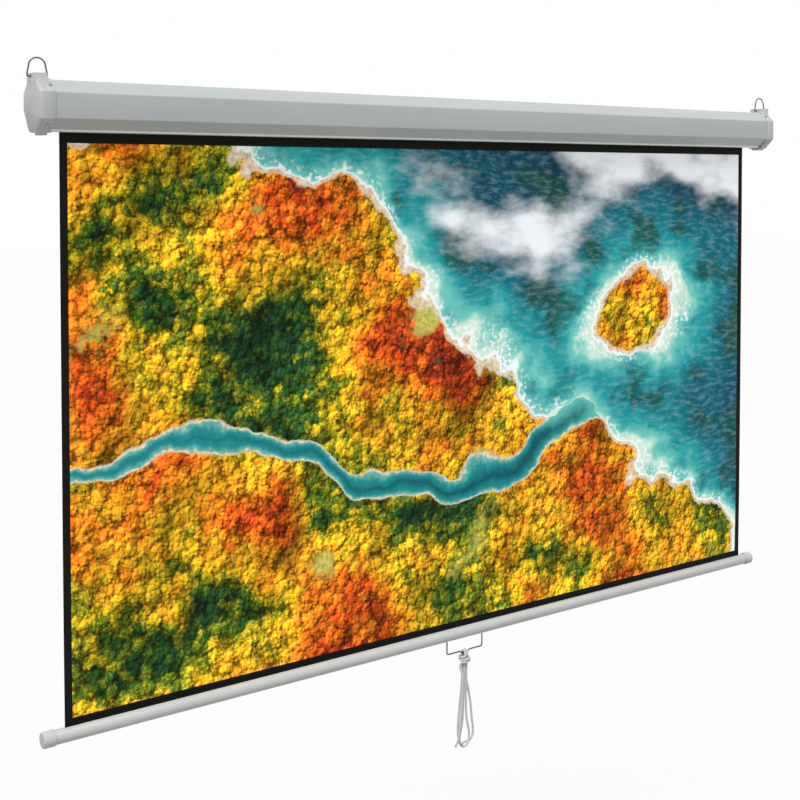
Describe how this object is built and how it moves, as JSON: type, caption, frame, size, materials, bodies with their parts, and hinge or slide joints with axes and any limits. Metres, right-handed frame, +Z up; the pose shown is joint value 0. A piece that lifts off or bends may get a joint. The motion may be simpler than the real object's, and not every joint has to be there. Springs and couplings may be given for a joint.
{
  "type": "pull-down projection screen",
  "caption": "Pull-down projection screen: folded steel case with hanging rings, self-locking spring roller, bordered fabric, bottom bar, wire handle and knotted pull cord.",
  "frame": {"origin": "midway between the inner crowns of the two hanging rings, where the ceiling or wall hooks bear", "axes": "+X along the case to the viewer's right, +Y towards the wall behind, +Z up"},
  "size_m": [1.7346, 0.0706, 1.2817],
  "materials": {
    "case_shell": "white powder coat",
    "end_cap_left": "fine satin white",
    "end_cap_right": "fine satin white",
    "bracket_left": "zinc plated",
    "bracket_right": "zinc plated",
    "bracket_screw_left_1": "zinc plated",
    "bracket_screw_left_2": "zinc plated",
    "bracket_screw_right_1": "zinc plated",
    "bracket_screw_right_2": "zinc plated",
    "cap_screw_left_front": "dull nickel",
    "cap_screw_left_rear": "dull nickel",
    "cap_screw_right_front": "dull nickel",
    "cap_screw_right_rear": "dull nickel",
    "journal_bush": "natural nylon",
    "spear_shaft": "drawn square bar",
    "spring_anchor": "natural nylon",
    "torsion_spring": "oiled spring steel",
    "ratchet_hub": "zinc plated",
    "screen_fabric": "coated cloth with black borders",
    "roller_tube": "zinc plated",
    "idle_end_plug": "natural nylon",
    "spring_end_plug": "natural nylon",
    "fabric_wraps": "coated cloth",
    "pawl_pin_1": "zinc plated",
    "pawl_pin_2": "zinc plated",
    "pawl_1": "zinc plated",
    "pawl_2": "zinc plated",
    "bottom_bar": "white coated",
    "bar_cap_left": "fine satin white",
    "bar_cap_right": "fine satin white",
    "hem_rod": "grey plastic",
    "border_hem": "black coated cloth",
    "handle_keeper": "zinc plated",
    "pull_handle": "dark nickel plate",
    "pull_cord": "braided polyester",
    "hanging_ring_left": "dark nickel plate",
    "hanging_ring_right": "dark nickel plate"
  },
  "bodies": {
    "case": {"case_shell": "case_shell", "end_cap_left": "end_cap_left", "end_cap_right": "end_cap_right", "bracket_left": "bracket_left", "bracket_right": "bracket_right", "bracket_screw_left_1": "bracket_screw_left_1", "bracket_screw_left_2": "bracket_screw_left_2", "bracket_screw_right_1": "bracket_screw_right_1", "bracket_screw_right_2": "bracket_screw_right_2", "cap_screw_left_front": "cap_screw_left_front", "cap_screw_left_rear": "cap_screw_left_rear", "cap_screw_right_front": "cap_screw_right_front", "cap_screw_right_rear": "cap_screw_right_rear", "journal_bush": "journal_bush", "spear_shaft": "spear_shaft", "spring_anchor": "spring_anchor", "torsion_spring": "torsion_spring", "ratchet_hub": "ratchet_hub", "screen_fabric": "screen_fabric"},
    "roller": {"roller_tube": "roller_tube", "idle_end_plug": "idle_end_plug", "spring_end_plug": "spring_end_plug", "fabric_wraps": "fabric_wraps", "pawl_pin_1": "pawl_pin_1", "pawl_pin_2": "pawl_pin_2"},
    "locking_pawl_1": {"pawl_1": "pawl_1"},
    "locking_pawl_2": {"pawl_2": "pawl_2"},
    "lower_bar": {"bottom_bar": "bottom_bar", "bar_cap_left": "bar_cap_left", "bar_cap_right": "bar_cap_right", "hem_rod": "hem_rod", "border_hem": "border_hem", "handle_keeper": "handle_keeper"},
    "handle": {"pull_handle": "pull_handle"},
    "cord": {"pull_cord": "pull_cord"},
    "ring_left": {"hanging_ring_left": "hanging_ring_left"},
    "ring_right": {"hanging_ring_right": "hanging_ring_right"}
  },
  "joints": [
    {"name": "screen_travel", "type": "slide", "parent": "case", "child": "lower_bar", "axis": [0, 0, 1], "range_m": [0, 0.92], "deforming": ["screen_fabric"]},
    {"name": "roller_spin", "type": "hinge", "parent": "case", "child": "roller", "pos_m": [0, 0, -0.07105], "axis": [1, 0, 0], "range_deg": [0, 3061]},
    {"name": "pawl_1_swing", "type": "hinge", "parent": "roller", "child": "locking_pawl_1", "pos_m": [0.8356, 0.013, -0.05985], "axis": [1, 0, 0], "range_deg": [0, 12]},
    {"name": "pawl_2_swing", "type": "hinge", "parent": "roller", "child": "locking_pawl_2", "pos_m": [0.8356, -0.013, -0.08225], "axis": [1, 0, 0], "range_deg": [0, 12]},
    {"name": "handle_swing", "type": "hinge", "parent": "lower_bar", "child": "handle", "pos_m": [0, 0.015, -1.0581], "axis": [1, 0, 0], "range_deg": [-50, 50]},
    {"name": "cord_swing", "type": "hinge", "parent": "handle", "child": "cord", "pos_m": [0, 0.015, -1.0926], "axis": [1, 0, 0], "range_deg": [-60, 60]},
    {"name": "ring_left_swing", "type": "hinge", "parent": "case", "child": "ring_left", "pos_m": [-0.85, 0, -0.0272], "axis": [1, 0, 0], "range_deg": [-90, 90]},
    {"name": "ring_right_swing", "type": "hinge", "parent": "case", "child": "ring_right", "pos_m": [0.85, 0, -0.0272], "axis": [1, 0, 0], "range_deg": [-90, 90]}
  ],
  "couplings": [
    {"joint": "roller_spin", "follows": "screen_travel", "rad_per_m": 58.051}
  ]
}
